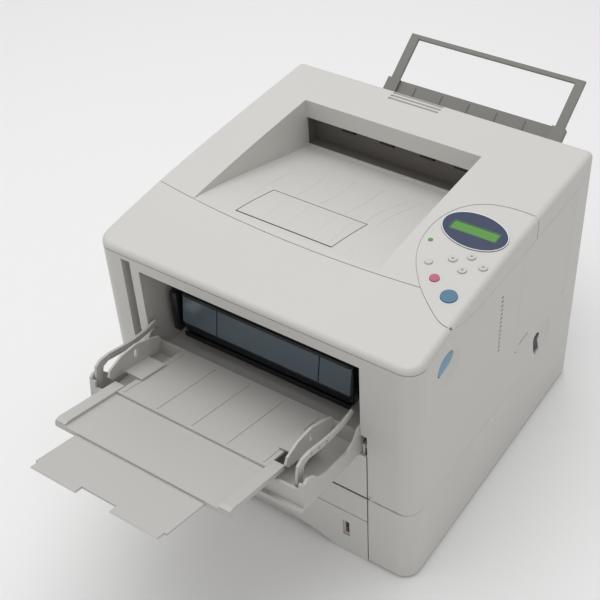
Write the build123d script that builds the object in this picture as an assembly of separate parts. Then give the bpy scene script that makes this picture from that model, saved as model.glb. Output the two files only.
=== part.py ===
from build123d import *
import os
from math import cos, sin, radians

# Outer body, mm. X to the right seen from the front, Y to the back, Z up.
body_right = 198.0
body_left = -210.0
body_depth = 405.0
body_bottom = 4.0
top_rear = 350.0
crown_rise = 19.5
wall = 3.0
front_corner_r = 20.0
rear_corner_r = 8.0
top_edge_r = 7.0
top_front = top_rear - crown_rise
sky = top_rear + 6.0
panel_low = top_rear - 50.0

# Seams between the outer pieces
seam_gap = 0.15
base_top = 112.0
cover_depth = 20.0
lip_seam_z = top_front - 7.0
rear_seam_y = body_depth - 38.0
side_seam_z = top_rear - 30.0
top_seam_y = 96.0
top_seam_r = 1400.0

# Paper path
path_x = -12.0
sheet_half = 105.0

# Front opening with the multipurpose tray
opening_left = -150.0
opening_right = 134.0
opening_bottom = 181.0
opening_top = lip_seam_z - 14.0
mp_pivot_y = 8.0
mp_pivot_z = 190.0
mp_rest_tilt = 8.0
mp_skin = 8.0
mp_length = 112.0
mp_slide = 94.0
mp_flap_slide = 80.0
deck_w = 14.0
deck_rise = 0.105

# Front cover hinge
cover_pivot_y = 3.2
cover_pivot_z = 115.5

# Cassette
bay_half = sheet_half + 37.0
bay_top = 73.0
bay_depth = 352.0
rail_z = 20.0
lift_pivot_y = 172.0
lift_pivot_z = 11.0

# Output recess in the top
recess_left = -152.0
recess_right = 92.0
recess_front = 106.0
recess_rear = body_depth - 75.0
header_z = top_rear - 25.0
flap_pivot_y = 116.0
flap_pivot_z = top_rear - 12.3
flap_length = 68.0

# Rear tray
rear_pivot_y = body_depth + 6.0
rear_pivot_z = 232.0
rear_rest = 36.0
rear_stage = 112.0
rear_slide = 62.0
rear_left = -134.0
rear_right = 123.0

# Inner side plates and shafts
plate_x = 141.0
plate_t = 2.0
run_gap = 0.05
fan_x = 162.0
plate_top = top_rear - 78.0
fuser_y = body_depth - 53.0
fuser_z = top_rear - 118.0
nip = 25.3
drum_y = 226.0
drum_z = 182.0
switch_y = body_depth - 106.0
switch_z = 131.0
release_z = top_rear - 57.0
stop_y = bay_depth - 44.0
fan_z = 180.0



def block(x0, x1, y0, y1, z0, z1):
    centre = Pos((x0 + x1) / 2, (y0 + y1) / 2, (z0 + z1) / 2)
    return centre * Box(x1 - x0, y1 - y0, z1 - z0)


def rod_x(radius, x0, x1, y, z):
    return Pos((x0 + x1) / 2, y, z) * Rot(0, 90, 0) * Cylinder(radius, x1 - x0)


def rod_y(radius, x, y0, y1, z):
    return Pos(x, (y0 + y1) / 2, z) * Rot(90, 0, 0) * Cylinder(radius, y1 - y0)


def rod_z(radius, x, y, z0, z1):
    return Pos(x, y, (z0 + z1) / 2) * Cylinder(radius, z1 - z0)


def prism_x(points, x0, x1):
    face = make_face(Polyline(*points, close=True))
    return Pos(x0, 0, 0) * extrude(Plane.YZ * face, amount=x1 - x0)


def prism_y(points, y0, y1):
    back = Plane(origin=(0, y1, 0), x_dir=(1, 0, 0), z_dir=(0, -1, 0))
    face = make_face(Polyline(*points, close=True))
    return extrude(back * face, amount=y1 - y0)


def prism_z(points, z0, z1):
    face = make_face(Polyline(*points, close=True))
    return Pos(0, 0, z0) * extrude(face, amount=z1 - z0)


def oval_x(length, height, x0, x1, y, z, tilt=0.0):
    face = Rot(0, 0, tilt) * SlotOverall(length, height)
    return Pos(x0, y, z) * extrude(Plane.YZ * face, amount=x1 - x0)


def group(*solids):
    return Compound([solid for shape in solids for solid in shape.solids()])


def body_form(inset, lower):
    """The outer form of the printer, or the same form inset for its inner faces."""
    x0 = body_left + inset
    x1 = body_right - inset
    y0 = inset
    y1 = body_depth - inset
    crown = Spline(
        (y0, top_front - lower),
        (98, top_rear - 9.0 - lower),
        (250, top_rear - 2.0 - lower),
        (y1, top_rear - lower),
    )
    sides = Polyline((y1, top_rear - lower), (y1, 0), (y0, 0), (y0, top_front - lower))
    face = make_face(crown + sides)
    form = Pos(x0, 0, 0) * extrude(Plane.YZ * face, amount=x1 - x0)
    front = form.edges().filter_by(Axis.Z).group_by(Axis.Y)[0]
    form = fillet(front, front_corner_r - inset)
    rear = form.edges().filter_by(Axis.Z).group_by(Axis.Y)[-1]
    form = fillet(rear, rear_corner_r - inset)
    if inset == 0:
        crown_face = form.faces().sort_by(Axis.Z)[-1]
        form = fillet(crown_face.edges(), top_edge_r)
    return form


outer = body_form(0.0, 0.0)
inner = body_form(wall, wall)
core = body_form(1.0, 1.0)
skin = outer - inner


def above(shift):
    """The outer form moved up or down, for pieces that follow its top."""
    return Pos(0, 0, shift) * outer


def recess_curve(drop):
    level = top_rear - drop
    run = recess_rear - recess_front
    return [
        (recess_front - 3, level - 8.6),
        (recess_front + run * 24 / 224, level - 13.5),
        (recess_front + run * 69 / 224, level - 24.5),
        (recess_front + run * 109 / 224, level - 36.0),
        (recess_front + run * 149 / 224, level - 47.5),
        (recess_front + run * 184 / 224, level - 57.5),
        (recess_front + run * 209 / 224, level - 64.0),
        (recess_rear + 3, level - 68.0),
    ]


def recess_solid(drop, x0, x1, y0, y1):
    """Everything above the output floor, lowered by drop."""
    floor = Spline(*recess_curve(drop))
    points = recess_curve(drop)
    lid = Polyline(points[-1], (points[-1][0], sky), (points[0][0], sky), points[0])
    face = make_face(floor + lid)
    solid = Pos(x0, 0, 0) * extrude(Plane.YZ * face, amount=x1 - x0)
    return solid & block(x0, x1, y0, y1, top_rear - 100, sky)


def seam_cylinder(offset):
    """Large upright cylinder whose front face is the bowed top seam."""
    return rod_z(top_seam_r - offset, 0, top_seam_y + top_seam_r, top_rear - 100, top_rear + 10)


def side_line(lift):
    """Lower edge of the front cap on the side of the body."""
    return [
        (cover_depth, lip_seam_z + lift),
        (66, top_rear - 16.0 + lift),
        (115, top_rear - 16.0 + lift),
    ]


def tongue_line(lift):
    """Upper edge of the side covers, where the top cover wraps round."""
    return [
        (72, top_rear - 16.3 + lift),
        (101, top_rear - 25.0 + lift),
        (128, top_rear - 28.0 + lift),
        (150, side_seam_z + lift),
    ]


def make_base():
    form = outer & block(body_left, body_right, 0, body_depth, body_bottom, base_top - seam_gap)
    side_in = bay_half + 3.3
    form -= block(-bay_half, bay_half, -1, bay_depth, 0, bay_top)
    form -= block(body_left, body_right, 3, body_depth - 3, bay_top + 3, base_top + 1) & inner
    form -= block(side_in, body_right, 3, body_depth - 3, 8, base_top) & inner
    form -= block(body_left, -side_in, 3, body_depth - 3, 8, base_top) & inner
    form -= block(-bay_half, bay_half, bay_depth + 3, body_depth - 3, 8, base_top)
    for sign in (-1, 1):
        rail = block(bay_half - 6, bay_half + 1, 6, bay_depth, rail_z, rail_z + 3)
        form += rail if sign > 0 else mirror(rail, Plane.YZ)
        form += cover_lug(sign)
    form -= block(path_x - 112, path_x + 112, 22, 66, bay_top - 1, bay_top + 5)
    form -= block(149.6, 180.4, body_depth - 4, body_depth + 1, 40.6, 63.4)
    form -= block(-176.4, -119.6, body_depth - 4, body_depth + 1, 79.6, 108.4)
    form -= upright_groove(bay_top - 2, base_top + 1)
    form -= column_groove()
    return form - seam_groove(base_top)


def cover_lug(sign):
    """Fixed ear with the moulded pivot stubs of the front cover."""
    x = sign * (bay_half + 4)
    ear = block(x - 2, x + 2, 1.2, cover_pivot_y + 2.4, base_top - 8, cover_pivot_z)
    ear += rod_x(2.4, x - 2, x + 2, cover_pivot_y, cover_pivot_z)
    return ear + rod_x(1.2, x - 8.5, x + 8.5, cover_pivot_y, cover_pivot_z)


def seam_groove(z):
    """Shallow reveal round the front at a seam."""
    return (outer - core) & block(body_left, body_right, -1, cover_depth, z - 0.6, z + 0.6)


def column_groove():
    """Deeper reveal over the cassette column."""
    return block(-bay_half, bay_half, -1, 1.8, base_top - 0.9, base_top + 0.9)


def upright_groove(z0, z1):
    """Upright reveal on the right of the cassette column."""
    return block(bay_half - 1.4, bay_half + 0.2, -1, 2.2, z0, z1)


def make_feet():
    corners = [(x, y) for x in (body_left + 26, body_right - 26) for y in (34, body_depth - 29)]
    pads = [rod_z(9, x, y, 0, body_bottom) for x, y in corners]
    return group(*pads)


def make_front_cover():
    low = base_top + seam_gap
    zone = block(body_left, body_right, -1, cover_depth, low, lip_seam_z - seam_gap)
    form = skin & zone
    form -= block(opening_left, opening_right, -1, 5, opening_bottom, opening_top)
    liner_top = opening_top - 6.5
    liner = block(opening_left - 3, opening_right + 3, 2.5, 66, opening_bottom - 3, liner_top)
    liner -= block(opening_left, opening_right, 2, 62, opening_bottom, liner_top + 1)
    liner -= block(path_x - 112, path_x + 112, 61, 67, 196, 240)
    form += liner
    form += block(-178, -158.5, 2.5, 27, 199.5, lip_seam_z - 2)
    form -= block(-174.5, -162, -1, 24, 203, lip_seam_z - 5.5)
    notch = opening_right + 8
    form -= block(opening_right - 1, notch, -1, 4, opening_bottom, 196)
    form -= block(opening_right - 1, notch, -1, 20, 195, 212)
    form -= block(-158, opening_left + 1, -1, 3.2, opening_bottom, 208)
    form -= rod_x(3 + run_gap, -160, 150, mp_pivot_y, mp_pivot_z)
    for sign in (-1, 1):
        x = sign * (bay_half + 4)
        form += block(x - 9, x + 9, cover_pivot_y, cover_pivot_y + 3.4, base_top + 0.3, 119)
        form += rod_x(3.0, x - 9, x + 9, cover_pivot_y, cover_pivot_z)
        form -= block(x - 2.3, x + 2.3, -1, 7.5, base_top, 119.5)
        form -= rod_x(1.2 + run_gap, x - 10, x + 10, cover_pivot_y, cover_pivot_z)
    for y0, y1, radius in (
        (-1, cover_pivot_y, cover_pivot_y),
        (cover_pivot_y, cover_depth + 1, cover_depth - cover_pivot_y - 0.05),
    ):
        corner = block(body_left, body_right, y0, y1, base_top - 1, cover_pivot_z)
        form -= corner - rod_x(radius, body_left, body_right, cover_pivot_y, cover_pivot_z)
    form -= upright_groove(base_top, opening_bottom + 1)
    form -= column_groove()
    return form - lip_groove()


def lip_groove():
    """Reveal under the front cap."""
    z = lip_seam_z
    return (outer - core) & block(body_left, body_right, -1, cover_depth + 2, z - 0.6, z + 0.6)


def make_cap():
    zone = block(body_left + wall, body_right - wall, -1, 120, lip_seam_z - 1.5, sky)
    zone -= block(body_left, body_right, -2, cover_depth + seam_gap, 200, lip_seam_z + seam_gap)
    strip = [(-1, lip_seam_z + seam_gap)] + side_line(seam_gap) + [(115, sky), (-1, sky)]
    zone += prism_x(strip, body_left - 1, body_left + wall)
    zone += prism_x(strip, body_right - wall, body_right + 1)
    form = (skin & zone) - seam_cylinder(-0.15)
    form -= top_groove()
    form -= panel_outline(0.15)
    form -= panel_groove()
    return form - lip_groove()


def panel_groove():
    """Reveal round the control panel."""
    return panel_outline(0.75) & (outer - core)


def top_groove():
    """Reveal along the bowed seam between the front cap and the top."""
    ring = (outer - core) & (seam_cylinder(-0.6) - seam_cylinder(0.6))
    return ring & block(body_left, body_right, 90, 125, top_front - 0.5, sky)


def make_side(sign):
    points = [
        (cover_depth + seam_gap, base_top + seam_gap),
        (cover_depth + seam_gap, lip_seam_z - seam_gap),
        side_line(-seam_gap)[1],
        *tongue_line(-seam_gap),
        (rear_seam_y - seam_gap, side_seam_z - seam_gap),
        (rear_seam_y - seam_gap, base_top + seam_gap),
    ]
    if sign > 0:
        form = skin & prism_x(points, body_right - 30, body_right + 1)
    else:
        form = skin & prism_x(points, body_left - 1, body_left + 30)
    if sign > 0:
        form = cut_right_side(form)
    return form


def cut_right_side(form):
    x0 = body_right - 20
    x1 = body_right + 2
    for step in range(14):
        z = side_seam_z - 106.5 + step * 6.0
        form -= block(x0, x1, 173, 195, z, z + 2.4)
    form += block(body_right - 9, body_right - wall + 0.1, 40, 92, release_z - 27, release_z + 19)
    housing = (switch_y - 15, switch_y + 27, switch_z - 18, switch_z + 29)
    form += block(body_right - 18, body_right - wall + 0.1, *housing)
    form -= Pos(body_right + 65.5, 66, release_z - 4) * Sphere(70)
    form -= Pos(body_right + 65, switch_y + 6, switch_z + 8) * Sphere(70)
    form -= oval_x(33.6, 18.6, x0, x1, 63.5, release_z, 12)
    form -= block(x0, x1, switch_y - 7.2, switch_y + 7.2, switch_z - 13.1, switch_z + 13.1)
    form -= rod_y(1.5 + run_gap, body_right - 12, switch_y - 9.2, switch_y + 9.2, switch_z)
    form -= block(body_right - 5, x1, 231, rear_seam_y - 8, 171, side_seam_z + 1)
    return form


def make_controller_cover():
    y0 = 231.2
    y1 = rear_seam_y - 8.2
    plate = block(body_right - wall, body_right, y0, y1, 171.2, side_seam_z - 0.3)
    plate = fillet(plate.edges().filter_by(Axis.X).group_by(Axis.Z)[0], 5)
    grip = block(body_right - 1.2, body_right + 1, 238, 262, 178, 181)
    return plate - grip


def make_release_button():
    stem = oval_x(33.0, 18.0, body_right - 14, body_right - 2.6, 63.5, release_z, 12)
    rim = stem.faces().sort_by(Axis.X)[-1].edges()
    return fillet(rim, 2.0)


def make_power_switch():
    y = switch_y
    z = switch_z
    rocker = block(body_right - 14, body_right - 3.4, y - 7, y + 7, z - 12, z + 12)
    rocker -= rod_y(22.5, body_right + 18, y - 19, y + 21, z)
    return rocker + rod_y(1.5, body_right - 12, y - 9, y + 9, z)


def make_rear_cover():
    low = base_top + seam_gap
    high = side_seam_z - seam_gap
    form = skin & block(body_left, body_right, rear_seam_y + seam_gap, body_depth, low, high)
    exit_gap = (rear_pivot_z + 8, rear_pivot_z + 64)
    form -= block(path_x - 118, path_x + 118, body_depth - 5, body_depth + 1, *exit_gap)
    form -= rod_y(27, fan_x, body_depth - 5, body_depth + 1, fan_z)
    for side, edge in ((-1, rear_left), (1, rear_right)):
        inside = edge + side * 0.3
        outside = edge + side * 5.3
        ear = block(min(inside, outside), max(inside, outside), body_depth - 1, body_depth + 10,
                    rear_pivot_z - 6, rear_pivot_z + 6)
        hole = rod_x(2.5 + run_gap, min(inside, outside) - 1, max(inside, outside) + 1,
                     rear_pivot_y, rear_pivot_z)
        form += ear - hole
    return form


def crown_zone():
    """Space of the top cover and the control panel, with the wraps over both sides."""
    low = side_seam_z + seam_gap
    zone = block(body_left + wall, body_right - wall, 60, body_depth, low, sky)
    strip = [*tongue_line(seam_gap), (body_depth, low), (body_depth, sky), (72, sky)]
    zone += prism_x(strip, body_right - wall, body_right + 1)
    zone += prism_x(strip, body_left - 1, body_left + wall)
    return zone


def make_top_cover():
    form = skin & crown_zone()
    tongue = form & block(body_right - wall, body_right, 60, 118, panel_low, top_rear - 16 - seam_gap)
    tongue += form & block(body_left, body_left + wall, 60, 118, panel_low, top_rear - 16 - seam_gap)
    form = (form & seam_cylinder(0.15)) + tongue
    tub = recess_solid(wall, recess_left - wall, recess_right + wall, 103.5, recess_rear + wall)
    form += (tub & outer) & seam_cylinder(0.15)
    form -= recess_solid(0, recess_left, recess_right, recess_front - 2, recess_rear)
    form -= block(recess_left, recess_right, recess_rear - 2, recess_rear + 4, top_rear - 66, header_z)
    form -= make_flap_pocket()
    form -= panel_outline(0.15)
    form -= panel_groove()
    form -= top_groove()
    form -= block(body_right - 0.8, body_right + 1, 230.2, 231.2, side_seam_z - 1, top_rear - 5)
    for step in range(3):
        y = body_depth - 22 + step * 6.5
        form -= block(-66, 4, y, y + 4, top_rear - 2.2, top_rear + 2)
    return form


def make_flap_pocket():
    y1 = flap_pivot_y + flap_length + 0.4
    pocket = block(-98.4, 28.4, flap_pivot_y - 2.9, y1, panel_low, sky)
    return pocket + rod_x(1.2 + run_gap, -101, 31, flap_pivot_y, flap_pivot_z)


def make_paper_stopper():
    y1 = flap_pivot_y + flap_length
    form = recess_solid(2.8, -98, 28, flap_pivot_y - 1.8, y1)
    form -= recess_solid(0, -99, 29, 100, 331)
    return form + rod_x(1.2, -100.5, 30.5, flap_pivot_y, flap_pivot_z)


def panel_outline(grow):
    points = [
        (200.0, 259.4),
        (158.1, 259.4),
        (132.5, 249.8),
        (114.7, 230.4),
        (105.9, 204.4),
        (106.1, 172.6),
        (116.7, 140.2),
        (132.5, 116.2),
        (143.8, 103.0),
        (168.4, 81.3),
        (188.1, 69.6),
        (200.0, 69.6),
    ]
    ratio = 1 + grow / 45
    points = [(150 + (x - 150) * ratio, 172 + (y - 172) * ratio) for x, y in points]
    curve = Spline(*points)
    face = make_face(curve + Line(points[-1], points[0]))
    return Pos(0, 0, panel_low) * extrude(face, amount=sky - panel_low)


button_spots = {
    "button_go": (174.4, 105.4, 9.0),
    "button_cancel": (148.6, 121.6, 5.4),
    "button_reprint": (130.8, 140.6, 4.2),
    "button_nav_left": (150.6, 156.2, 4.6),
    "button_nav_up": (166.2, 168.0, 4.6),
    "button_nav_right": (184.4, 159.0, 4.6),
    "button_nav_down": (167.5, 145.4, 4.6),
}


lamp_spot = (115.4, 171.9)
badge_spot = (149.6, 206.3)


def make_control_panel():
    form = (skin & crown_zone()) & panel_outline(0)
    for x, y, radius in button_spots.values():
        form -= rod_z(radius + 0.25, x, y, panel_low, sky)
    form -= badge_zone(0.1)
    form -= rod_z(2.75, *lamp_spot, panel_low, sky)
    return form


def badge_zone(grow):
    face = Pos(*badge_spot) * Rot(0, 0, -10.0) * Ellipse(39.7 + grow, 27.8 + grow)
    return Pos(0, 0, panel_low) * extrude(face, amount=sky - panel_low)


def lcd_zone(grow):
    face = Pos(*badge_spot) * Rot(0, 0, 1) * RectangleRounded(53 + 2 * grow, 13 + 2 * grow, 1.5)
    return Pos(0, 0, panel_low) * extrude(face, amount=sky - panel_low)


def make_badge():
    return ((badge_zone(0) & above(1.1)) - above(-2.4)) - lcd_zone(0.1)


def make_lcd():
    return (lcd_zone(0) & above(0.8)) - above(-2.2)


def make_led():
    return (rod_z(2.6, *lamp_spot, panel_low, sky) & above(0.5)) - above(-2.4)


def make_button(name):
    x, y, radius = button_spots[name]
    return (rod_z(radius, x, y, panel_low, sky) & above(1.6)) - above(-5.0)


def make_plates():
    profile = [
        (22, bay_top + 3.0),
        (22, 110),
        (72, 128),
        (72, plate_top),
        (body_depth - 75, plate_top),
        (body_depth - 23, plate_top - 22),
        (body_depth - 23, bay_top + 3.0),
    ]
    plates = []
    for x in (-plate_x - plate_t, plate_x):
        plate = prism_x(profile, x, x + plate_t)
        for radius, y, z in shaft_spots():
            plate -= rod_x(radius + run_gap, -200, 200, y, z)
        plates.append(plate)
    return group(*plates)


def shaft_spots():
    return [
        (3.0, 44, bay_top + 16),
        (4.0, fuser_y, fuser_z),
        (4.0, fuser_y, fuser_z - nip),
        (3.0, drum_y, drum_z - 23.5),
    ]


def roller(y, z, radius, shaft, x0, x1, ends=plate_x + plate_t):
    return rod_x(shaft, -ends, ends, y, z) + rod_x(radius, x0, x1, y, z)


def make_pickup():
    z = bay_top + 16
    form = roller(44, z, 5.0, 3.0, -120, 120)
    tyre = rod_x(15, path_x - 24, path_x + 24, 44, z)
    return form + (tyre - block(path_x - 30, path_x + 30, 20, 70, z + 11, z + 17))


def make_exit_roller():
    y = recess_rear + 13.5
    z = header_z - 7
    shaft = rod_x(3, recess_left - 2.8, recess_right + 2.8, y, z)
    for x in (-96, -40, 16, 62):
        shaft += rod_x(6, x - 9, x + 9, y, z)
    return shaft


def make_exit_frame():
    x0 = recess_left - 3
    x1 = recess_right + 3
    y = recess_rear
    z = header_z
    frame = block(x0, x1, y + 3.2, y + 23, z - 46, z + 5)
    frame -= block(x0 + 3, x1 - 3, y, y + 20.5, z - 42, z + 1.5)
    frame -= rod_x(3 + run_gap, x0 + 0.1, x1 - 0.1, y + 13.5, z - 7)
    for x in (x0 + 16, x1 - 9):
        frame += block(x, x + 4, y + 7, y + 20, fuser_z + 30, z - 45)
    return frame


def make_fuser_frame():
    edge = plate_x - 0.2
    y = fuser_y
    z = fuser_z
    frame = block(-edge, edge, y - 27, y + 28, z - 52, z + 30)
    frame -= block(-edge + 6.8, edge - 6.8, y - 24, y + 25, z - 49, z + 27)
    frame -= block(path_x - 112, path_x + 112, y - 32, y + 33, z - 19, z - 6)
    frame -= rod_x(4 + run_gap, -160, 160, y, z)
    frame -= rod_x(4 + run_gap, -160, 160, y, z - nip)
    return frame


def make_cartridge():
    body = [
        (84, 168),
        (84, 232),
        (140, 246),
        (196, 240),
        (206, 214),
        (206, 170),
        (190, 158),
    ]
    case = prism_x(body, -132, 110)
    case -= rod_x(15.5, -133, 111, drum_y, drum_z)
    grip = block(-40, 18, 76, 86, 196, 226) - block(-34, 12, 75, 82, 200, 222)
    ears = block(-138, -132, 196, 240, 168, 200) + block(110, 116, 196, 240, 168, 200)
    case += ears + grip
    case -= rod_x(4 + run_gap, -160, 160, drum_y, drum_z)
    for x0, x1 in ((-plate_x + 0.2, -138), (116, plate_x - 0.2)):
        case += block(x0, x1, 150, 200, 186, 194)
    return case


def make_drum():
    return rod_x(4, -137.8, 115.8, drum_y, drum_z) + rod_x(15, -131.5, 109.5, drum_y, drum_z)


def make_transfer():
    return roller(drum_y, drum_z - 23.5, 8.2, 3.0, -118, 96)


def make_fuser_roller():
    return roller(fuser_y, fuser_z, 12.5, 4, -118, 96)


def make_pressure_roller():
    return roller(fuser_y, fuser_z - nip, 12.5, 4, -118, 96)


def make_laser():
    edge = plate_x - 0.2
    low = plate_top - 20
    high = plate_top - 0.5
    case = block(-edge, edge, 96, 150, low, high)
    case += block(-100, 76, 100, 250, low, high)
    case += rod_z(30, -12, 200, high - 0.5, high + 3.5)
    return case - block(-95, 71, 150, 170, low - 1, low + 2)


def make_motor():
    case = rod_x(24, plate_x + plate_t, plate_x + 24, 285, 150)
    case += block(plate_x + plate_t, plate_x + plate_t + 3, 258, 312, 123, 177)
    return case


def make_ac_inlet():
    y = body_depth
    form = block(150, 180, y - 16, y + 0.8, 41, 63)
    form += block(147, 183, y, y + 1.6, 38, 66)
    form -= block(153, 177, y - 12, y + 3, 44, 60)
    for x, z in ((159, 50), (165, 53), (171, 50)):
        form += block(x - 1, x + 1, y - 13, y - 3, z - 2, z + 2)
    return form


def make_ports():
    y = body_depth
    form = block(-176, -120, y - 8, y + 0.6, 80, 108)
    form -= block(-172, -158, y - 5, y + 2, 87, 101)
    form -= block(-152, -124, y - 5, y + 2, 88, 100)
    return form + block(-149, -127, y - 6, y - 1, 92.5, 95.5)


def make_board():
    board = block(plate_x + 24.5, plate_x + 26.1, 190, body_depth - 55, 180, plate_top + 28)
    board += block(plate_x + 26, plate_x + 31, 220, 250, 220, 250)
    board += block(plate_x + 26, plate_x + 29, 270, 300, 200, 240)
    for y in (200, body_depth - 65):
        for z in (190, 262):
            board += rod_x(3, plate_x + plate_t, plate_x + 25, y, z)
    return board


def make_power_supply():
    y = body_depth
    z = bay_top + 7
    case = block(-100, 128, y - 33, y - 5, z, z + 28)
    case -= block(-96, 124, y - 29, y - 4, z + 4, z + 29)
    return case + block(-100, 128, y - 67, y - 31, bay_top + 3, z + 1)


def make_fan_frame():
    y = body_depth - wall
    form = block(fan_x - 28, fan_x + 28, y - 16, y, fan_z - 28, fan_z + 28)
    form -= rod_y(26.5, fan_x, y - 17, y + 1, fan_z)
    form += rod_y(9, fan_x, y - 3, y, fan_z)
    for turn in range(4):
        arm = Pos(0, y - 1, 17) * Box(2, 2, 22)
        form += Pos(fan_x, 0, fan_z) * Rot(0, turn * 90, 0) * arm
    grille = rod_y(26.8, fan_x, y, y + 2.6, fan_z)
    for step in range(9):
        x = fan_x - 24 + step * 6
        grille -= block(x - 1.8, x + 1.8, y + 0.8, y + 4, fan_z - 22.5, fan_z + 22.5)
        grille -= block(x - 1.8, x + 1.8, y - 1, y + 4, fan_z - 22.5, fan_z - 10)
        grille -= block(x - 1.8, x + 1.8, y - 1, y + 4, fan_z + 10, fan_z + 22.5)
    form += grille
    return form - rod_y(1.5 + run_gap, fan_x, y - 4, y + 1, fan_z)


def make_fan_rotor():
    y = body_depth - wall
    form = rod_y(9, fan_x, y - 14, y - 4, fan_z) + rod_y(1.5, fan_x, y - 6, y - 0.5, fan_z)
    for turn in range(7):
        blade = Pos(17, 0, 0) * Rot(28, 0, 0) * Box(17.5, 8, 1.6)
        form += Pos(fan_x, y - 9, fan_z) * Rot(0, turn * 360 / 7, 0) * blade
    return form


def make_cassette_tray():
    half = bay_half - 8
    end = bay_depth - 7
    tray = block(-half, half, 4, end, 6, 58)
    tray -= block(2.5 - half, half - 2.5, 6.5, end - 2.5, 8.6, 59)
    for sign in (-1, 1):
        flange = block(half - 1, bay_half - 0.3, 5, end, rail_z + 3.2, rail_z + 6)
        tray += flange if sign > 0 else mirror(flange, Plane.YZ)
        x = path_x + sign * 97
        ear = block(x - 2, x + 2, lift_pivot_y - 4, lift_pivot_y + 4, 8, 15)
        tray += ear - rod_x(2 + run_gap, x - 3, x + 3, lift_pivot_y, lift_pivot_z)
    return tray - block(half - 31, half - 13, 3, 7, 18, 59)


def make_cassette_front():
    x = bay_half - 1.4
    plate = block(-x, x, 0, 4, 1, bay_top - 1.4)
    arch = Pos(0, 2, 20 - 250) * Rot(90, 0, 0) * Cylinder(250, 10)
    plate -= arch
    mark = bay_half - 30
    plate -= block(mark - 4.5, mark + 4.5, -1, 3, 29.5, 54.5)
    plate -= block(mark - 2.5, mark + 2.5, -1, 5, 31.5, 52.5)
    return plate


def make_lift_plate():
    x0 = path_x - 94
    x1 = path_x + 94
    plate = block(x0, x1, 14, lift_pivot_y, lift_pivot_z - 1, lift_pivot_z + 1)
    return plate + rod_x(2, x0 - 4.8, x1 + 4.8, lift_pivot_y, lift_pivot_z)


def make_cassette_guide(sign):
    face = path_x + sign * (sheet_half + 0.8)
    back = face + sign * 2.5
    foot_in = face - sign * 32
    fence = block(min(face, back), max(face, back), 180, 252, 8.9, 52)
    foot = block(min(face, foot_in), max(face, foot_in), 190, 242, 8.9, 10.4)
    return fence + foot


def make_rear_stop():
    stop = block(path_x - 16, path_x + 16, stop_y, stop_y + 3, 8.9, 48)
    return stop + block(path_x - 16, path_x + 16, stop_y - 12, stop_y + 14, 8.9, 10.6)


def make_gauge():
    return block(bay_half - 35, bay_half - 25, 4.15, 6.0, 22, 50)


def tilt_mp(shape):
    return Pos(0, mp_pivot_y, mp_pivot_z) * Rot(-mp_rest_tilt, 0, 0) * shape


def deck_line(u, lift=0.0):
    return deck_w + deck_rise * u + lift


def profile_mp(points, x0, x1):
    """Side outline given as distance from the pivot and height over it."""
    return prism_x([(-u, w) for u, w in points], x0, x1)


def make_mp_tray():
    x0 = opening_left + 0.6
    x1 = opening_right - 0.6
    end = mp_length
    side = [
        (-4.6, -4.5),
        (-2.4, -mp_skin),
        (end, -mp_skin),
        (end, 27),
        (107, 31),
        (96, 27),
        (84, 16),
        (70, 12),
        (33, 12),
        (22, 18),
        (14, 30),
        (6, 33),
        (-2, 26),
        (-4.6, 8),
    ]
    form = block(x0, x1, -end - 5, 2.4, -mp_skin, -mp_skin + 3)
    form += profile_mp(side, x0, x0 + 3) + profile_mp(side, x1 - 3, x1)
    deck = [(-1, deck_line(-1, -2.5)), (end, deck_line(end, -2.5))]
    deck += [(end, deck_line(end)), (-1, deck_line(-1))]
    form += profile_mp(deck, path_x - 98, path_x + 98)
    form += block(x0, x1, -2, 1, -mp_skin, deck_line(-1))
    form += block(x0, x1, -end, -end + 3, -mp_skin, deck_line(end - 3, -10))
    for edge in (x0, x1 - 8):
        form += block(edge, edge + 8, -end, -end + 3, -mp_skin, 24)
    for step in range(5):
        rib_x = path_x - 92 + 46 * step
        rib = [(8, deck_line(8, -0.5)), (end - 4, deck_line(end - 4, -0.5))]
        rib += [(end - 4, deck_line(end - 4, 0.8)), (8, deck_line(8, 0.8))]
        form += profile_mp(rib, rib_x - 0.8, rib_x + 0.8)
    for pin_x in (x0 - 6, x1 - 2):
        form += rod_x(3, pin_x, pin_x + 8, 0, 0)
    return tilt_mp(form)


def make_mp_arm(sign):
    """Stay arm beside the guide, a curved strap that folds in with the tray."""
    x0 = path_x + sign * 130.5
    outline = [
        (106, 8),
        (108, 28),
        (107, 40),
        (100, 45),
        (86, 46),
        (66, 43),
        (46, 41),
        (26, 42),
        (8, 46),
        (4, 41),
        (22, 36),
        (46, 34),
        (68, 35),
        (88, 38),
        (96, 35),
        (98, 24),
        (98, 8),
    ]
    form = profile_mp(outline, min(x0, x0 + sign * 3), max(x0, x0 + sign * 3))
    wall_face = opening_right - 3.8 if sign > 0 else opening_left + 3.8
    foot = sorted((x0, wall_face))
    form += block(foot[0], foot[1], -106, -98, -mp_skin + 3, 9)
    for u, w in ((84, 41.5), (70, 39.0), (56, 37.5)):
        form -= rod_x(1.6, -200, 200, -u, w)
    return form


def make_mp_arms():
    return group(tilt_mp(make_mp_arm(-1)), tilt_mp(make_mp_arm(1)))


def make_mp_guide(sign):
    face = path_x + sign * 114.8
    back = face + sign * 2.6
    fence = [
        (24, deck_line(24, 1.1)),
        (19, 32),
        (22, 38),
        (38, 44),
        (60, 50),
        (84, 48),
        (102, 40),
        (105, 32),
        (100, deck_line(100, 1.1)),
    ]
    form = profile_mp(fence, min(face, back), max(face, back))
    foot = [(40, deck_line(40, 1.1)), (80, deck_line(80, 1.1))]
    foot += [(80, deck_line(80, 3.0)), (40, deck_line(40, 3.0))]
    inside = face - sign * 24
    form += profile_mp(foot, min(inside, face), max(inside, face))
    window = block(-200, 200, -64, -58, 34, 44)
    return tilt_mp(form - window)


def mp_section(points, travel):
    """Side outline of a sliding stage, given at its stowed place and moved out by travel."""
    return [(u + travel, deck_line(u, lift) + deck_rise * travel) for u, lift in points]


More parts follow.
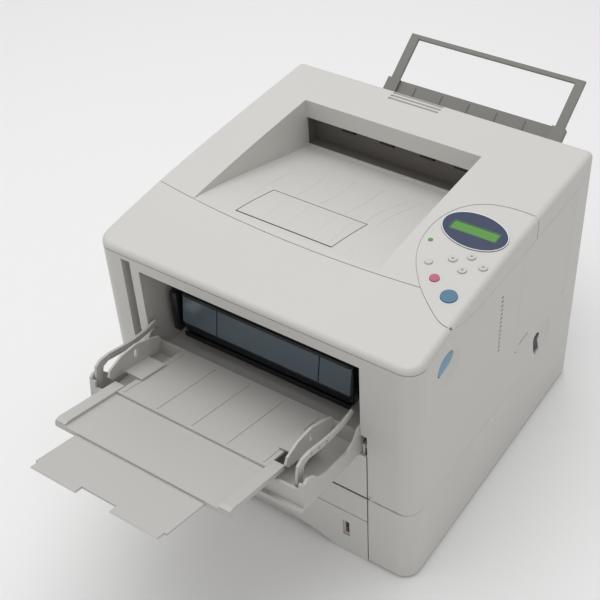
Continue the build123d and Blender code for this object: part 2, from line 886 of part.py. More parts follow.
def make_mp_extension():
    plate = [(5, -5.6), (96, -5.6), (96, -3.0), (5, -3.0)]
    form = profile_mp(mp_section(plate, mp_slide), path_x - 112, path_x + 112)
    rail = [(5, -5.6), (92, -5.6), (95, -4), (95, -1.5), (90, 0.7), (5, 0.7)]
    for sign in (-1, 1):
        edges = sorted((path_x + sign * 98.6, path_x + sign * 112))
        form += profile_mp(mp_section(rail, mp_slide), *edges)
    lip = [(90, -8.9), (96, -8.9), (96, -5.5), (90, -5.5)]
    form += profile_mp(mp_section(lip, mp_slide), path_x - 112, path_x - 83.4)
    form += profile_mp(mp_section(lip, mp_slide), path_x + 83.4, path_x + 112)
    return tilt_mp(form)


def make_mp_flap():
    travel = mp_slide + mp_flap_slide
    plate = [(4, -8.6), (72, -8.6), (72, -5.9), (4, -5.9)]
    form = profile_mp(mp_section(plate, travel), path_x - 83, path_x + 83)
    tab = [(71, -8.6), (81, -8.6), (82.5, -7.2), (81, -5.9), (71, -5.9)]
    form += profile_mp(mp_section(tab, travel), path_x - 80, path_x - 22)
    form += profile_mp(mp_section(tab, travel), path_x + 22, path_x + 80)
    return tilt_mp(form)


def make_feed_unit():
    x0 = path_x - 113
    x1 = path_x + 113
    body = [(39, 222), (39, 262), (62, 262), (62, 214), (39, 214)]
    form = prism_x(body, x0, x1)
    form -= rod_x(10, x0 + 6, x1 - 6, 49, 215.6)
    form += block(x0 + 1, x1 - 1, 31, 62, 203, 205.6)
    for x in (x0, x1 - 5):
        form += block(x, x + 5, 40, 62, 203, 216)
    form -= rod_x(3 + run_gap, x0 - 1, x1 + 1, 49, 215.6)
    return form


def make_feed_panels():
    face = [(31.4, 224), (36.4, 258), (39, 260), (39, 222), (32.4, 222)]
    left = path_x - 113
    right = path_x + 113
    cuts = ((left, left + 48), (left + 49.4, right - 41), (right - 39.6, right))
    return group(*[prism_x(face, a, b) for a, b in cuts])


def make_feed_roller():
    x0 = path_x - 112.6
    x1 = path_x + 112.6
    shaft = rod_x(3, x0, x1, 49, 215.6)
    return shaft + rod_x(9.6, path_x - 22, path_x + 22, 49, 215.6)


def tilt_rear(shape):
    return Pos(0, rear_pivot_y, rear_pivot_z) * Rot(rear_rest, 0, 0) * shape


def make_rear_tray():
    plate = block(rear_left + 16, rear_right - 16, 2, rear_stage, -2, 0.6)
    form = plate + rod_x(2.5, rear_left - 4.8, rear_right + 4.8, 0, 0)
    form += block(rear_left, rear_right, 0, 6, -2.4, 2.4)
    for x0 in (rear_left, rear_right - 18):
        arm = block(x0, x0 + 18, 0, rear_stage, -5, 5)
        arm -= block(x0 + 2.6, x0 + 15.4, 6, rear_stage + 1, -2.7, 2.7)
        form += arm
    for step in range(5):
        x = path_x - 80 + step * 40
        form += block(x - 1, x + 1, 12, rear_stage - 4, 0.5, 2)
    return tilt_rear(form)


def make_rear_extension():
    y0 = rear_slide + 8.0
    y1 = rear_slide + rear_stage + 6.0
    form = block(rear_left + 3, rear_left + 15, y0, y1, -2.4, 2.4)
    form += block(rear_right - 15, rear_right - 3, y0, y1, -2.4, 2.4)
    form += block(rear_left + 3, rear_right - 3, y1 - 5.6, y1, -2.4, 2.4)
    return tilt_rear(form)


def make_screws():
    heads = []
    for x, z in ((-186, 130), (186, 130), (-186, 300), (186, 300)):
        head = rod_y(3.4, x, body_depth, body_depth + 1.6, z)
        head -= block(x - 2.2, x + 2.2, body_depth + 0.8, body_depth + 2, z - 0.4, z + 0.4)
        head -= block(x - 0.4, x + 0.4, body_depth + 0.8, body_depth + 2, z - 2.2, z + 2.2)
        heads.append(head)
    return group(*heads)


pieces = {
    "base_frame": make_base,
    "feet": make_feet,
    "front_cover": make_front_cover,
    "front_cap": make_cap,
    "right_side_cover": lambda: make_side(1),
    "left_side_cover": lambda: make_side(-1),
    "controller_cover": make_controller_cover,
    "release_button": make_release_button,
    "power_switch": make_power_switch,
    "rear_cover": make_rear_cover,
    "top_cover": make_top_cover,
    "paper_stopper": make_paper_stopper,
    "control_panel": make_control_panel,
    "display_badge": make_badge,
    "lcd_window": make_lcd,
    "status_led": make_led,
    "inner_plates": make_plates,
    "pickup_roller": make_pickup,
    "exit_roller": make_exit_roller,
    "exit_frame": make_exit_frame,
    "fuser_frame": make_fuser_frame,
    "fuser_roller": make_fuser_roller,
    "pressure_roller": make_pressure_roller,
    "toner_cartridge": make_cartridge,
    "drum": make_drum,
    "transfer_roller": make_transfer,
    "laser_unit": make_laser,
    "main_motor": make_motor,
    "main_board": make_board,
    "power_supply": make_power_supply,
    "fan_frame": make_fan_frame,
    "fan_rotor": make_fan_rotor,
    "ac_inlet": make_ac_inlet,
    "interface_ports": make_ports,
    "rear_screws": make_screws,
    "cassette_tray": make_cassette_tray,
    "cassette_front": make_cassette_front,
    "cassette_lift_plate": make_lift_plate,
    "cassette_guide_left": lambda: make_cassette_guide(-1),
    "cassette_guide_right": lambda: make_cassette_guide(1),
    "cassette_rear_stop": make_rear_stop,
    "paper_gauge": make_gauge,
    "mp_feed_unit": make_feed_unit,
    "mp_feed_panels": make_feed_panels,
    "mp_feed_roller": make_feed_roller,
    "mp_tray": make_mp_tray,
    "mp_stay_arms": make_mp_arms,
    "mp_guide_left": lambda: make_mp_guide(-1),
    "mp_guide_right": lambda: make_mp_guide(1),
    "mp_extension": make_mp_extension,
    "mp_flap": make_mp_flap,
    "rear_tray": make_rear_tray,
    "rear_tray_extension": make_rear_extension,
}
for button in button_spots:
    pieces[button] = lambda name=button: make_button(name)


def tray_front():
    """Foremost Y of the open multipurpose tray."""
    u = 82.5 + mp_slide + mp_flap_slide
    w = deck_line(82.5, -7.2) + deck_rise * (mp_slide + mp_flap_slide)
    tilt = radians(mp_rest_tilt)
    return mp_pivot_y - u * cos(tilt) + w * sin(tilt)


def tray_rear():
    """Rearmost Y of the open rear tray."""
    tilt = radians(rear_rest)
    return rear_pivot_y + (rear_slide + rear_stage + 6.0) * cos(tilt) + 2.4 * sin(tilt)


mid_x = (body_left + body_right) / 2
mid_y = (tray_front() + tray_rear()) / 2
os.makedirs("parts", exist_ok=True)
for name, make in pieces.items():
    solid = Pos(-mid_x, -mid_y, 0) * make()
    solid.label = name
    export_step(solid, f"parts/{name}.step")
print("mid", round(mid_x, 4), round(mid_y, 4), "pieces", len(pieces))
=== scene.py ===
import bpy
from math import radians, sin, cos, pi
from mathutils import Matrix, Vector


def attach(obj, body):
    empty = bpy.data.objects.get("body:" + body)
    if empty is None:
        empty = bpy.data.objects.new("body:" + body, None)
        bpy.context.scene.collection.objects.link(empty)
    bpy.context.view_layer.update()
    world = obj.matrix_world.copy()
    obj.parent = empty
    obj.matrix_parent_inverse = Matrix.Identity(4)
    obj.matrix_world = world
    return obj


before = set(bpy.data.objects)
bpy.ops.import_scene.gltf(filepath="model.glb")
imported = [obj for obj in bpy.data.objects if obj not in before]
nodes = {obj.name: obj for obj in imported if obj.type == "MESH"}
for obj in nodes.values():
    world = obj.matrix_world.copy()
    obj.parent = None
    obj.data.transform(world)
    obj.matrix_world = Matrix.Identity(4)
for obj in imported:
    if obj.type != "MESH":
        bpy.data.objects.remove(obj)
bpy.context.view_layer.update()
print("frame loaded", len(nodes), "nodes")

mm = 0.001
midX = -6.0
midY = 158.3623


def at(x, y, z):
    # the drawing's millimetres, with y from the front face, to metres in the frame
    return Vector(((x - midX) * mm, (y - midY) * mm, z * mm))


def linear(hexText):
    # the sRGB curve, from a colour as it is picked to the one the renderer needs
    values = [int(hexText[i:i + 2], 16) / 255 for i in (1, 3, 5)]
    return [v / 12.92 if v <= 0.04045 else ((v + 0.055) / 1.055) ** 2.4 for v in values] + [1.0]


def addNode(tree, kind, links=(), **settings):
    # links are (input name, source socket or value); settings are the node's own fields
    node = tree.nodes.new(kind)
    for name, value in settings.items():
        setattr(node, name, value)
    for name, source in links:
        if isinstance(source, bpy.types.NodeSocket):
            tree.links.new(source, node.inputs[name])
        else:
            node.inputs[name].default_value = source
    return node


def startMaterial(name):
    mat = bpy.data.materials.new(name)
    mat.use_nodes = True
    tree = mat.node_tree
    coords = addNode(tree, "ShaderNodeTexCoord").outputs["Object"]
    return mat, tree, tree.nodes["Principled BSDF"], coords


# how the grain of a mould shows: patches of tone about 110 mm wide, swing of the gloss, relief in metres
mouldGrain = {"cloudScale": 9.0, "glossSwing": 0.06, "reliefDepth": 0.00005, "detail": 3.0}


def moulded(name, colour, roughness=0.5, grain=0.6, relief=0.12, cloud=0.03, ior=1.53):
    # spark-eroded grain, its size in millimetres, in the gloss and relief, and a faint unevenness of tone
    mat, tree, shader, coords = startMaterial(name)
    shader.inputs["IOR"].default_value = ior
    swing = mouldGrain["glossSwing"]
    fine = addNode(tree, "ShaderNodeTexNoise", [
        ("Vector", coords), ("Scale", 1 / (grain * mm)),
        ("Detail", mouldGrain["detail"]), ("Roughness", 0.6)])
    wide = addNode(tree, "ShaderNodeTexNoise", [
        ("Vector", coords), ("Scale", mouldGrain["cloudScale"]), ("Detail", mouldGrain["detail"])])
    tone = addNode(tree, "ShaderNodeMapRange", [
        ("Value", wide.outputs["Fac"]), ("To Min", 1 - cloud), ("To Max", 1 + cloud)])
    mix = addNode(tree, "ShaderNodeMix", data_type="RGBA", blend_type="MULTIPLY")
    mix.inputs["Factor"].default_value = 1.0
    mix.inputs["A"].default_value = linear(colour)
    tree.links.new(tone.outputs["Result"], mix.inputs["B"])
    tree.links.new(mix.outputs["Result"], shader.inputs["Base Color"])
    rough = addNode(tree, "ShaderNodeMapRange", [
        ("Value", fine.outputs["Fac"]), ("To Min", roughness - swing), ("To Max", roughness + swing)])
    tree.links.new(rough.outputs["Result"], shader.inputs["Roughness"])
    bump = addNode(tree, "ShaderNodeBump", [
        ("Height", fine.outputs["Fac"]), ("Strength", relief), ("Distance", mouldGrain["reliefDepth"])])
    tree.links.new(bump.outputs["Normal"], shader.inputs["Normal"])
    return mat


# crystals of the zinc, in millimetres, and how far they differ in tone and gloss
spangle = {"size": 6.0, "darkest": 0.92, "brightest": 1.05, "glossSwing": 0.08}


def platedSteel(name, colour, roughness=0.35):
    # zinc plated sheet: bright, with the dull and bright flakes of its spangle
    mat, tree, shader, coords = startMaterial(name)
    shader.inputs["Metallic"].default_value = 1.0
    flakes = addNode(tree, "ShaderNodeTexVoronoi", [
        ("Vector", coords), ("Scale", 1 / (spangle["size"] * mm))])
    tone = addNode(tree, "ShaderNodeMapRange", [
        ("Value", flakes.outputs["Distance"]),
        ("To Min", spangle["darkest"]), ("To Max", spangle["brightest"])])
    mix = addNode(tree, "ShaderNodeMix", data_type="RGBA", blend_type="MULTIPLY")
    mix.inputs["Factor"].default_value = 1.0
    mix.inputs["A"].default_value = linear(colour)
    tree.links.new(tone.outputs["Result"], mix.inputs["B"])
    tree.links.new(mix.outputs["Result"], shader.inputs["Base Color"])
    rough = addNode(tree, "ShaderNodeMapRange", [
        ("Value", flakes.outputs["Distance"]),
        ("To Min", roughness - spangle["glossSwing"]), ("To Max", roughness + spangle["glossSwing"])])
    tree.links.new(rough.outputs["Result"], shader.inputs["Roughness"])
    return mat


# acrylic window over the liquid crystal, with its unlit dots, their pitch in millimetres
crystal = {"pitch": 1.2, "line": "#5F9A44", "lineWidth": 0.05, "roughness": 0.12, "ior": 1.49}


def displayGlass(name, colour):
    # clear window over a reflective liquid crystal: a fine grid of unlit dots shows through the gloss
    mat, tree, shader, coords = startMaterial(name)
    shader.inputs["IOR"].default_value = crystal["ior"]
    shader.inputs["Roughness"].default_value = crystal["roughness"]
    grid = addNode(tree, "ShaderNodeTexBrick", [
        ("Vector", coords), ("Color1", linear(colour)), ("Color2", linear(colour)),
        ("Mortar", linear(crystal["line"])), ("Scale", 1 / (crystal["pitch"] * mm)),
        ("Mortar Size", crystal["lineWidth"])])
    grid.offset = 0.0
    tree.links.new(grid.outputs["Color"], shader.inputs["Base Color"])
    return mat


looks = {
    # acrylonitrile butadiene styrene off a spark-eroded mould: warm light grey with a soft, broken sheen
    "shell": moulded("mouldedAbsWarmGrey", "#C9C7C3", 0.5, 0.8, 0.16, 0.012),
    # the same resin in deeper mouldings, coloured a little greyer than the casing
    "tray": moulded("mouldedAbsTray", "#BAB8B4", 0.52, 0.8, 0.16, 0.02),
    # the rear tray's resin: mid grey and duller
    "rear": moulded("mouldedAbsMidGrey", "#74736F", 0.55, 0.8, 0.2, 0.05),
    # painted shade: the exit frame is coloured a dark grey, darker than its resin, so that the output slot
    # reads as deep
    "slot": moulded("exitFramePaintedShade", "#66625D", 0.6, 0.8, 0.15, 0.03),
    # glass filled polyamide of the paper feed: near black, half gloss
    "feed": moulded("mouldedPolyamideBlack", "#15171A", 0.34, 0.6, 0.12, 0.05),
    # polished polycarbonate facings: slate blue with a sharp sheen
    "facing": moulded("polishedPolycarbonateSlate", "#56646E", 0.2, 0.5, 0.02, 0.06, ior=1.58),
    # pad printed and lacquered plate behind the display
    "plate": moulded("lacqueredPlateNavy", "#011C42", 0.42, 0.5, 0.02, 0.02),
    # acrylic lens over the lamp: glossy, a dull green while it is off
    "lamp": moulded("lampLensGreen", "#5E8F4E", 0.2, 0.5, 0.0, 0.0, ior=1.49),
    # silicone keys: soft, barely glossy
    "blueKey": moulded("siliconeKeyBlue", "#4F7590", 0.5, 0.5, 0.1, 0.03, ior=1.43),
    "redKey": moulded("siliconeKeyRed", "#B4607A", 0.5, 0.5, 0.1, 0.03, ior=1.43),
    "greyKey": moulded("siliconeKeyGrey", "#C5C3BF", 0.5, 0.5, 0.1, 0.02, ior=1.43),
    # the resin of the latch: a pale blue that marks what the user touches
    "blueLatch": moulded("mouldedAbsLatchBlue", "#6E97B0", 0.45, 0.6, 0.1, 0.03),
    # high impact polystyrene of the cartridge and scanner housings
    "housing": moulded("mouldedPolystyreneBlack", "#232325", 0.5, 0.7, 0.14, 0.04),
    # ethylene propylene rubber tyres and feet: matt and slightly dusty
    "rubber": moulded("mouldedRubberBlack", "#242424", 0.78, 0.4, 0.25, 0.06, ior=1.52),
    # the coated aluminium tube of the drum: a deep even gloss
    "drum": moulded("photoconductorCoatTeal", "#2F7F8C", 0.12, 0.5, 0.0, 0.01, ior=1.6),
    # epoxy board under its solder mask: half glossy green
    "board": moulded("solderMaskGreen", "#1F5A33", 0.35, 0.5, 0.05, 0.04),
    # zinc plated sheet steel: cool, bright and flaky
    "steel": platedSteel("zincPlatedSteel", "#B9BBBD"),
    # liquid crystal behind acrylic: an even yellowish green under a sharp gloss
    "display": displayGlass("displayGlassGreen", "#46862E"),
    # pad printed inks: flat and half matt
    "printWhite": moulded("padPrintWhite", "#E6EAF0", 0.45, 0.4, 0.02, 0.0),
    "printGrey": moulded("padPrintGrey", "#77787A", 0.45, 0.4, 0.02, 0.0),
    # the shadow in the joints of the casing, as a matt dark bead
    "joint": moulded("jointShadePainted", "#2B2A28", 0.85, 0.6, 0.1, 0.05),
    # acetal mark of the paper gauge: a waxy red
    "markRed": moulded("mouldedAcetalRed", "#B5443F", 0.4, 0.5, 0.05, 0.02),
}
nodeLook = {
    "feet": "rubber", "display_badge": "plate", "lcd_window": "display",
    "status_led": "lamp", "release_button": "blueLatch", "button_go": "blueKey",
    "button_cancel": "redKey", "button_reprint": "greyKey", "button_nav_left": "greyKey",
    "button_nav_up": "greyKey", "button_nav_right": "greyKey", "button_nav_down": "greyKey",
    "power_switch": "housing", "inner_plates": "steel", "pickup_roller": "rubber",
    "exit_roller": "rubber", "exit_frame": "slot", "fuser_frame": "feed",
    "fuser_roller": "rubber", "pressure_roller": "rubber", "toner_cartridge": "housing",
    "drum": "drum", "transfer_roller": "rubber", "laser_unit": "housing", "main_motor": "steel",
    "main_board": "board", "power_supply": "steel", "fan_frame": "housing",
    "fan_rotor": "housing", "ac_inlet": "housing", "interface_ports": "steel",
    "rear_screws": "steel", "cassette_tray": "tray", "cassette_lift_plate": "steel",
    "cassette_guide_left": "tray", "cassette_guide_right": "tray", "cassette_rear_stop": "tray",
    "paper_gauge": "housing", "mp_feed_unit": "feed", "mp_feed_panels": "facing",
    "mp_feed_roller": "rubber", "rear_tray": "rear", "rear_tray_extension": "rear",
    "mp_tray": "tray", "mp_stay_arms": "tray", "mp_guide_left": "tray",
    "mp_guide_right": "tray", "mp_extension": "tray", "mp_flap": "tray",
}
for name, node in nodes.items():
    node.data.materials.clear()
    node.data.materials.append(looks[nodeLook.get(name, "shell")])
print("materials set")

# softened edges of the mouldings, in millimetres, and the angles that count as an edge
edgeSize = {"shell": 0.5, "tray": 0.6, "rear": 0.6, "feed": 0.5, "facing": 1.2, "housing": 0.4,
            "plate": 0.6, "other": 0.25}
softEdge = {"segments": 2, "limit": radians(40), "nodeSmooth": radians(32), "pieceSmooth": radians(35)}
for name, node in nodes.items():
    bpy.ops.object.select_all(action="DESELECT")
    node.select_set(True)
    bpy.context.view_layer.objects.active = node
    bpy.ops.object.shade_smooth_by_angle(angle=softEdge["nodeSmooth"])
    bevel = node.modifiers.new("softened edges", "BEVEL")
    bevel.width = edgeSize.get(nodeLook.get(name, "shell"), edgeSize["other"]) * mm
    bevel.segments = softEdge["segments"]
    bevel.limit_method = "ANGLE"
    bevel.angle_limit = softEdge["limit"]
    bevel.harden_normals = True
bpy.ops.object.select_all(action="DESELECT")
print("edges softened")


def surfacePoint(nodeName, x, y, lift=0.0):
    # a point on the upper skin of a node, above a place in the drawing, and its normal
    start = at(x, y, 420)
    hit, place, normal, face = nodes[nodeName].ray_cast(start, Vector((0, 0, -1)))
    if not hit:
        raise RuntimeError("nothing of " + nodeName + " lies at " + str((x, y)))
    return place + normal * lift * mm, normal


def sunkLine(nodeName, line, sink):
    # the places of a line that is drawn on a node and sunk a little into its skin
    return [surfacePoint(nodeName, x, y, -sink)[0] for x, y in line]


def turned(spot, u, v, turn):
    # a place at u and v from a spot, on axes turned by some degrees
    angle = radians(turn)
    return (spot[0] + u * cos(angle) - v * sin(angle), spot[1] + u * sin(angle) + v * cos(angle))


def ovalLine(spot, halfLong, halfShort, turn, steps):
    # once round a turned oval
    angles = [2 * pi * step / steps for step in range(steps)]
    return [turned(spot, halfLong * cos(a), halfShort * sin(a), turn) for a in angles]


def finishPiece(piece, name, look, body, edge=0.0, flat=False):
    piece.name = name
    bpy.context.view_layer.objects.active = piece
    if edge:
        bevel = piece.modifiers.new("edge", "BEVEL")
        bevel.width = edge * mm
        bevel.segments = softEdge["segments"]
        bevel.angle_limit = softEdge["limit"]
        bpy.ops.object.modifier_apply(modifier=bevel.name)
    if not flat:
        bpy.ops.object.shade_smooth_by_angle(angle=softEdge["pieceSmooth"])
    piece.data.materials.clear()
    piece.data.materials.append(looks[look])
    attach(piece, body)
    bpy.ops.object.select_all(action="DESELECT")
    return piece


def layBead(name, places, radius, look, body, closed=False):
    # a round bead through the given places, half sunk where they lie on a surface
    bpy.ops.curve.primitive_nurbs_path_add()
    bead = bpy.context.object
    line = bead.data
    line.splines.clear()
    spline = line.splines.new("NURBS")
    spline.points.add(len(places) - 1)
    for point, place in zip(spline.points, places):
        point.co = (*place, 1.0)
    spline.order_u = 3
    spline.use_cyclic_u = closed
    spline.use_endpoint_u = not closed
    spline.resolution_u = 6
    line.dimensions = "3D"
    line.bevel_depth = radius * mm
    line.bevel_resolution = 2
    line.use_fill_caps = not closed
    bpy.ops.object.convert(target="MESH")
    return finishPiece(bpy.context.object, name, look, body)


def addBlock(name, low, high, look, body, edge):
    # a block between two corners of the drawing, with its edges softened
    start, end = at(*low), at(*high)
    bpy.ops.mesh.primitive_cube_add(size=1, location=(start + end) / 2, scale=end - start)
    piece = bpy.context.object
    bpy.ops.object.transform_apply(location=True, rotation=True, scale=True)
    return finishPiece(piece, name, look, body, edge)


# curved ribs of the output floor that keep warm sheets from sticking
floorRibs = {
    "radius": 0.7,
    "sink": 0.3,
    "lines": [
        [(-107, 150), (-110, 172), (-113, 203), (-116, 250)],
        [(-71, 190), (-72, 208), (-76, 236), (-81, 262)],
        [(-40, 190), (-38, 214), (-41, 246), (-46, 276)],
        [(-5, 190), (-4, 218), (-6, 250), (-9, 279)],
        [(24, 190), (20, 220), (24, 250), (30, 276)],
        [(47, 124), (38, 178), (35, 232), (43, 283)],
    ],
}
for step, line in enumerate(floorRibs["lines"]):
    places = sunkLine("top_cover", line, floorRibs["sink"])
    layBead("output_floor_rib_" + str(step + 1), places, floorRibs["radius"], "shell", "frame")

# the same ribs carried over the paper stopper, which lifts with them
stopperRibs = {"radius": 0.55, "sink": 0.25, "lean": 2, "x": (-66, -37, -2, 20), "y": (122, 142, 162, 181)}
for step, x in enumerate(stopperRibs["x"]):
    line = [(x - stopperRibs["lean"] * k, y) for k, y in enumerate(stopperRibs["y"])]
    places = sunkLine("paper_stopper", line, stopperRibs["sink"])
    layBead("stopper_rib_" + str(step + 1), places, stopperRibs["radius"], "shell", "paper_stopper")

# painted shadow round the stopper's pocket: a dark bead in the gap where shade falls, wider at its front
stopperJoint = {"x": (-98.4, 28.4), "y": (113.1, 184.4), "out": 0.3, "radius": 0.34, "wider": 1.7,
                "sink": 0.1, "steps": 8}
x0, x1 = stopperJoint["x"]
y0, y1 = stopperJoint["y"]
out = stopperJoint["out"]
rows = [y0 + (y1 - y0) * k / stopperJoint["steps"] for k in range(stopperJoint["steps"] + 1)]
columns = (x0, (x0 + x1) / 2, x1)
pocketEdges = {
    "left": [(x0 - out, y) for y in rows],
    "right": [(x1 + out, y) for y in rows],
    "front": [(x, y0 - out) for x in columns],
    "rear": [(x, y1 + out) for x in columns],
}
for edgeName, line in pocketEdges.items():
    places = sunkLine("top_cover", line, stopperJoint["sink"])
    thick = stopperJoint["radius"] * (stopperJoint["wider"] if edgeName == "front" else 1.0)
    layBead("stopper_joint_" + edgeName, places, thick, "joint", "frame")
print("output floor dressed")

# white line round the display plate
displayRing = {"spot": (149.6, 206.3), "halfLong": 39.2, "halfShort": 27.3, "turn": -10.0,
               "radius": 0.62, "sink": 0.25, "steps": 48}
line = ovalLine(displayRing["spot"], displayRing["halfLong"], displayRing["halfShort"],
                displayRing["turn"], displayRing["steps"])
places = sunkLine("display_badge", line, displayRing["sink"])
layBead("display_ring", places, displayRing["radius"], "printWhite", "frame", closed=True)

# green rim round the window, one bead a side
windowRim = {"spot": (149.6, 206.3), "half": (27.4, 7.4), "turn": 1.0, "radius": 0.3, "sink": 0.12,
             "steps": 4}
corners = [(-1, -1), (1, -1), (1, 1), (-1, 1)]
for step, (sx, sy) in enumerate(corners):
    ex, ey = corners[(step + 1) % len(corners)]
    line = []
    for k in range(windowRim["steps"] + 1):
        u = windowRim["half"][0] * (sx + (ex - sx) * k / windowRim["steps"])
        v = windowRim["half"][1] * (sy + (ey - sy) * k / windowRim["steps"])
        line.append(turned(windowRim["spot"], u, v, windowRim["turn"]))
    places = sunkLine("display_badge", line, windowRim["sink"])
    layBead("window_rim_" + str(step + 1), places, windowRim["radius"], "display", "frame")

# arrow prints on the four menu keys
arrowPrint = {
    "radius": 2.0,
    "lift": 0.03,
    "thick": 0.08,
    "keys": {
        "button_nav_left": (150.6, 156.2, 180), "button_nav_up": (166.2, 168.0, 90),
        "button_nav_right": (184.4, 159.0, 0), "button_nav_down": (167.5, 145.4, 270),
    },
}
for key, (x, y, turn) in arrowPrint["keys"].items():
    place, normal = surfacePoint(key, x, y, arrowPrint["lift"])
    bpy.ops.mesh.primitive_circle_add(vertices=3, radius=arrowPrint["radius"] * mm, fill_type="NGON")
    arrow = bpy.context.object
    bpy.ops.object.mode_set(mode="EDIT")
    bpy.ops.mesh.select_all(action="SELECT")
    bpy.ops.mesh.extrude_region_move(
        TRANSFORM_OT_translate={"value": (0, 0, -arrowPrint["thick"] * mm)})
    bpy.ops.mesh.select_all(action="SELECT")
    bpy.ops.mesh.normals_make_consistent(inside=False)
    bpy.ops.object.mode_set(mode="OBJECT")
    tilt = normal.to_track_quat("Z", "Y").to_matrix().to_4x4()
    spin = Matrix.Rotation(radians(turn - 90), 4, "Z")
    arrow.matrix_world = Matrix.Translation(place) @ tilt @ spin
    bpy.ops.object.transform_apply(location=True, rotation=True, scale=True)
    finishPiece(arrow, key + "_arrow", "printGrey", key, flat=True)

# collars round the two coloured keys, each with its place and radius
keyCollar = {
    "radius": 0.42,
    "sink": 0.05,
    "steps": 24,
    "keys": {"button_go": (174.4, 105.4, 9.75), "button_cancel": (148.6, 121.6, 6.1)},
}
for key, (x, y, radius) in keyCollar["keys"].items():
    line = ovalLine((x, y), radius, radius, 0.0, keyCollar["steps"])
    places = sunkLine("control_panel", line, keyCollar["sink"])
    layBead(key + "_collar", places, keyCollar["radius"], "printWhite", "frame", closed=True)
print("control panel dressed")

# painted shadow in the joints of the casing: dark beads laid in the gaps where only shade falls; three
# places each, the bead's radius, and the body
jointLines = {
    "cassette_top_joint": ([(x, 1.9, 72.3) for x in (-140.4, 0, 140.4)], 0.75, "frame"),
    "cassette_right_joint": ([(141.25, 1.9, z) for z in (5, 38, 71.0)], 0.7, "cassette"),
    "cassette_left_joint": ([(-141.25, 1.9, z) for z in (5, 38, 71.0)], 0.7, "cassette"),
    "column_joint": ([(x, 1.35, 112.0) for x in (-141.0, 0, 141.0)], 0.6, "frame"),
    "column_upright_joint_low": ([(141.4, 1.7, z) for z in (73, 92, 111.4)], 0.65, "frame"),
    "column_upright_joint_high": ([(141.4, 1.7, z) for z in (112.6, 146, 181)], 0.65, "front_door"),
}
for name, (line, radius, body) in jointLines.items():
    layBead(name, [at(*place) for place in line], radius, "joint", body)
print("joints dressed")

# black frame round the feed facings, inside the front cover: two corners and the edge's radius
feedFrame = {
    "feed_top_rail": ((-124.8, 34.0, 260.2), (100.8, 40.0, 264.6), 1.2),
    "feed_lower_rail": ((-124.8, 33.4, 210.2), (100.8, 39.0, 221.6), 1.2),
    "feed_lower_lip": ((-124.8, 31.2, 205.6), (100.8, 34.0, 208.6), 0.8),
    "feed_left_block": ((-141.0, 31.6, 205.0), (-130.6, 61.8, 262.5), 1.6),
    "feed_right_block": ((106.0, 50.0, 205.0), (118.0, 61.8, 262.5), 1.6),
}
for name, (low, high, edge) in feedFrame.items():
    addBlock(name, low, high, "feed", "front_door", edge)
print("feed unit dressed")

# caps that shorten the slots of the side vent to the short openings seen
ventCaps = {
    "front": ((195.3, 172.4, 212.6), (198.02, 181.6, 294.6)),
    "rear": ((195.3, 186.4, 212.6), (198.02, 195.6, 294.6)),
}
for end, (low, high) in ventCaps.items():
    addBlock("vent_cap_" + end, low, high, "shell", "frame", 0.0)

# red mark of the paper gauge
gaugeMark = {"low": (109.9, 4.03, 33.0), "high": (112.0, 4.3, 38.5), "edge": 0.05}
addBlock("gauge_mark", gaugeMark["low"], gaugeMark["high"], "markRed", "paper_gauge", gaugeMark["edge"])
print("small parts dressed")

# white laminate floor that keeps the part's shadow, its size in metres
studioFloor = {"size": 30, "colour": "#F4F4F4", "roughness": 0.8, "grain": 2.0}
bpy.ops.mesh.primitive_plane_add(size=studioFloor["size"], location=(0, 0, 0))
floor = bpy.context.object
floor.name = "floor"
floor.data.materials.append(moulded("mattLaminateFloor", studioFloor["colour"], studioFloor["roughness"],
                                    studioFloor["grain"], 0.0, 0.0))

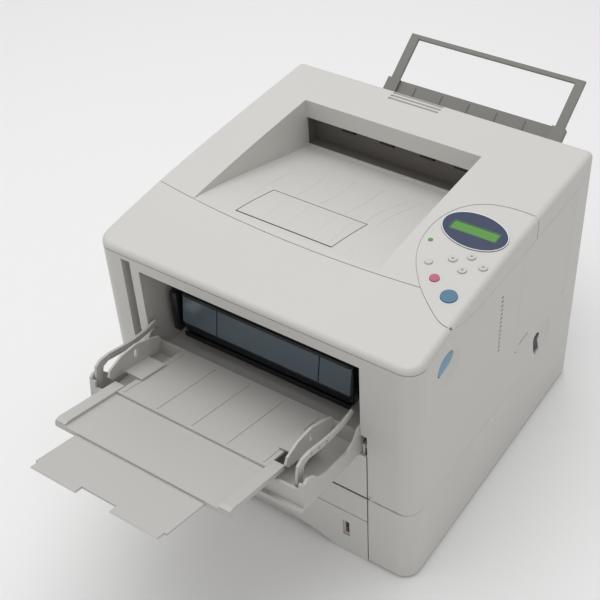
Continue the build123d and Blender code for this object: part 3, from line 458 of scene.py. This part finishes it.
# square lamps aimed at the part's middle: place and size in metres, power in watts
lightGoal = Vector((0.0, 0.0, 0.2))
lights = {
    "top": ((-0.3, 0.2, 2.6), 2.4, 37),
    "front": ((-2.0, -2.4, 1.4), 1.8, 6.5),
    "side": ((2.6, -1.0, 1.3), 1.6, 3),
}
for name, (place, size, power) in lights.items():
    bpy.ops.object.light_add(type="AREA", location=place)
    light = bpy.context.object
    light.name = name + "_light"
    light.data.shape = "SQUARE"
    light.data.size = size
    light.data.energy = power
    light.rotation_euler = (Vector(place) - lightGoal).to_track_quat("Z", "Y").to_euler()

# the camera, reflections and clear plastic see a white room; its light on the part stays softer
room = {"fill": 0.5, "seen": 1.0}
world = bpy.data.worlds.new("studio")
bpy.context.scene.world = world
world.use_nodes = True
sky = world.node_tree
background = sky.nodes["Background"]
background.inputs["Color"].default_value = (1, 1, 1, 1)
rays = addNode(sky, "ShaderNodeLightPath").outputs
mirrored = addNode(sky, "ShaderNodeMath", [
    (0, rays["Is Glossy Ray"]), (1, rays["Is Transmission Ray"])], operation="MAXIMUM")
seen = addNode(sky, "ShaderNodeMath", [
    (0, rays["Is Camera Ray"]), (1, mirrored.outputs[0])], operation="MAXIMUM")
strength = addNode(sky, "ShaderNodeMapRange", [
    ("Value", seen.outputs[0]), ("To Min", room["fill"]), ("To Max", room["seen"])])
sky.links.new(strength.outputs["Result"], background.inputs["Strength"])

# the photograph's camera: angles in degrees round a target in the drawing, distance in millimetres
photo = {"azimuth": 36.74, "elevation": 41.22, "roll": -3.58, "distance": 1394.8, "lens": 70.45,
         "target": (-44.55, 152.86, 202.55), "shift": (-0.0032, -0.001), "clipEnd": 50}
target = at(*photo["target"])
az = radians(photo["azimuth"])
el = radians(photo["elevation"])
roll = radians(photo["roll"])
back = Vector((sin(az) * cos(el), -cos(az) * cos(el), sin(el)))
side = (-back).cross(Vector((0, 0, 1))).normalized()
up = side.cross(-back).normalized()
right = cos(roll) * side + sin(roll) * up
top = -sin(roll) * side + cos(roll) * up
bpy.ops.object.camera_add()
camera = bpy.context.object
camera.name = "photo_camera"
turn = Matrix((right, top, back)).transposed().to_4x4()
camera.matrix_world = Matrix.Translation(target + back * photo["distance"] * mm) @ turn
camera.data.lens = photo["lens"]
camera.data.shift_x, camera.data.shift_y = photo["shift"]
camera.data.clip_end = photo["clipEnd"]
camera.data.dof.use_dof = False
bpy.context.scene.camera = camera
bpy.context.scene.view_settings.view_transform = "Standard"
print("floor, light and camera set")
